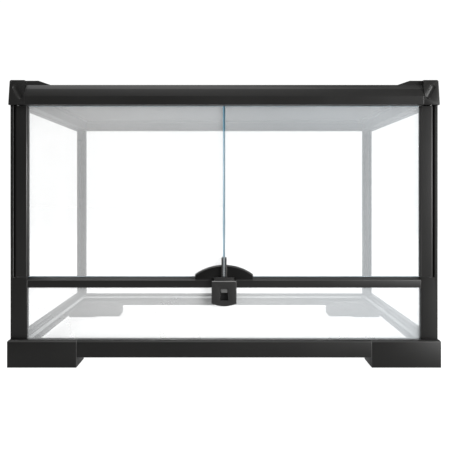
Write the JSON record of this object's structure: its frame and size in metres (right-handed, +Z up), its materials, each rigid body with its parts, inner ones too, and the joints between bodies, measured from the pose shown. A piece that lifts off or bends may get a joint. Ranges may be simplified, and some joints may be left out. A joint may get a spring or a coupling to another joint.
{
  "type": "glass small-animal cage",
  "caption": "Front-opening glass pet cage with a black plastic frame, two hinged glass doors, a tilting latch and a lift-off mesh lid.",
  "frame": {"origin": "middle of the footprint, on the surface that the feet stand on", "axes": "+X to the right seen from the doors, +Y to the rear, +Z up; the doors face -Y"},
  "size_m": [0.6, 0.45, 0.398],
  "materials": {
    "black_plastic": "satin moulded black plastic",
    "latch_plastic": "satin",
    "catch_plastic": "polished",
    "pane_glass": "clear float glass",
    "door_glass": "clear float glass",
    "silicone": "translucent",
    "spline_rubber": "matt",
    "mesh_wire": "matt black woven wire",
    "steel": "plain"
  },
  "bodies": {
    "cage": {"front_left_foot": "black_plastic", "front_right_foot": "black_plastic", "rear_left_foot": "black_plastic", "rear_right_foot": "black_plastic", "base_front_rail": "black_plastic", "base_rear_rail": "black_plastic", "base_left_rail": "black_plastic", "base_right_rail": "black_plastic", "front_left_post": "black_plastic", "front_right_post": "black_plastic", "rear_left_post": "black_plastic", "rear_right_post": "black_plastic", "front_crossbar": "black_plastic", "top_front_rail": "black_plastic", "top_rear_rail": "black_plastic", "top_left_rail": "black_plastic", "top_right_rail": "black_plastic", "front_left_cap": "black_plastic", "front_right_cap": "black_plastic", "rear_left_cap": "black_plastic", "rear_right_cap": "black_plastic", "latch_bracket": "latch_plastic", "floor_glass": "pane_glass", "left_glass": "pane_glass", "right_glass": "pane_glass", "rear_glass": "pane_glass", "lower_front_glass": "pane_glass", "floor_seal": "silicone", "latch_pin": "steel"},
    "left_door": {"left_door_glass": "door_glass", "left_door_stile": "black_plastic", "left_handle": "black_plastic", "left_hinge_pins": "steel"},
    "right_door": {"right_door_glass": "door_glass", "right_door_stile": "black_plastic", "right_handle": "black_plastic", "right_hinge_pins": "steel"},
    "lid": {"lid_front_rail": "black_plastic", "lid_rear_rail": "black_plastic", "lid_left_rail": "black_plastic", "lid_right_rail": "black_plastic", "lid_mesh": "mesh_wire", "mesh_spline": "spline_rubber"},
    "latch": {"latch_block": "latch_plastic"},
    "catch": {"latch_catch": "catch_plastic"}
  },
  "joints": [
    {"name": "left_door_hinge", "type": "hinge", "parent": "cage", "child": "left_door", "pos_m": [-0.2883, -0.2133, 0.2436], "axis": [0, 0, 1], "range_deg": [-105, 0]},
    {"name": "right_door_hinge", "type": "hinge", "parent": "cage", "child": "right_door", "pos_m": [0.2883, -0.2133, 0.2436], "axis": [0, 0, 1], "range_deg": [0, 105]},
    {"name": "lid_lift", "type": "slide", "parent": "cage", "child": "lid", "axis": [0, 0, 1], "range_m": [0, 0.06]},
    {"name": "latch_tilt", "type": "hinge", "parent": "cage", "child": "latch", "pos_m": [0, -0.22, 0.0915], "axis": [1, 0, 0], "range_deg": [0, 40]},
    {"name": "catch_slide", "type": "slide", "parent": "latch", "child": "catch", "axis": [0, 0, 1], "range_m": [-0.004, 0], "stiffness_N_per_m": 150}
  ]
}
